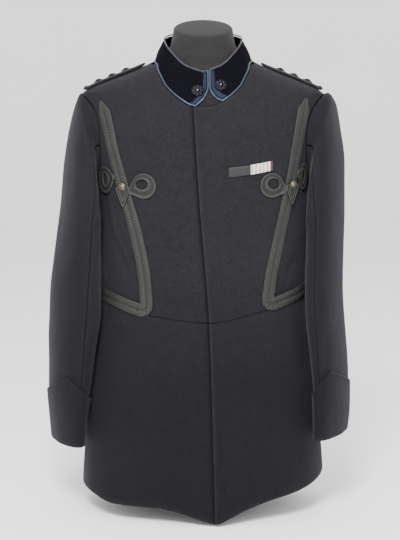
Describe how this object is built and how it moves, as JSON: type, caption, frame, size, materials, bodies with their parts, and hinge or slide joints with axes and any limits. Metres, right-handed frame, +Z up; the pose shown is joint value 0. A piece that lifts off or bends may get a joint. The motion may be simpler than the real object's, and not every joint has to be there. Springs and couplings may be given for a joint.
{
  "type": "military tunic on a dress form",
  "caption": "Dark wool officer's frock tunic with velvet stand collar, blue piping and mohair braid, worn by a limbless dress form on a round base.",
  "frame": {"origin": "centre of the underside of the round base plate", "axes": "+Z up, along the pole to the neck; +Y towards the tunic's back, so that the front faces -Y; +X towards the wearer's left"},
  "size_m": [0.548, 0.293, 0.8719],
  "materials": {
    "cloth": "dark blue-black wool, matt",
    "velvet": "near-black navy velvet",
    "piping": "light blue cloth piping",
    "braid": "worn grey-green mohair braid",
    "gilt": "dull gilt",
    "bronze": "dark bronzed",
    "strap": "black cloth",
    "dark_ribbon": "dark silk ribbon",
    "striped_ribbon": "pale striped silk ribbon",
    "form_cover": "charcoal jersey cover",
    "stand_steel": "grey painted steel"
  },
  "bodies": {
    "root": {"front_left": "cloth", "back_left": "cloth", "skirt_front_left": "cloth", "skirt_back_left": "cloth", "top_sleeve_left": "cloth", "under_sleeve_left": "cloth", "cuff_left": "cloth", "collar_left": "velvet", "collar_piping_left": "piping", "chest_braid_left": "braid", "waist_braid_left": "braid", "inner_loop_left": "braid", "outer_loop_left": "braid", "pointed_tab_left": "braid", "braid_button_left": "gilt", "shoulder_strap_left": "strap", "collar_rosette_left": "bronze", "strap_pip_left_1": "bronze", "strap_pip_left_2": "bronze", "strap_pip_left_3": "bronze", "front_right": "cloth", "back_right": "cloth", "skirt_front_right": "cloth", "skirt_back_right": "cloth", "top_sleeve_right": "cloth", "under_sleeve_right": "cloth", "cuff_right": "cloth", "collar_right": "velvet", "collar_piping_right": "piping", "chest_braid_right": "braid", "waist_braid_right": "braid", "inner_loop_right": "braid", "outer_loop_right": "braid", "pointed_tab_right": "braid", "braid_button_right": "gilt", "shoulder_strap_right": "strap", "collar_rosette_right": "bronze", "strap_pip_right_1": "bronze", "strap_pip_right_2": "bronze", "strap_pip_right_3": "bronze", "ribbon_dark": "dark_ribbon", "ribbon_striped": "striped_ribbon", "form_body": "form_cover", "form_pole": "stand_steel", "form_base": "stand_steel"}
  },
  "joints": []
}
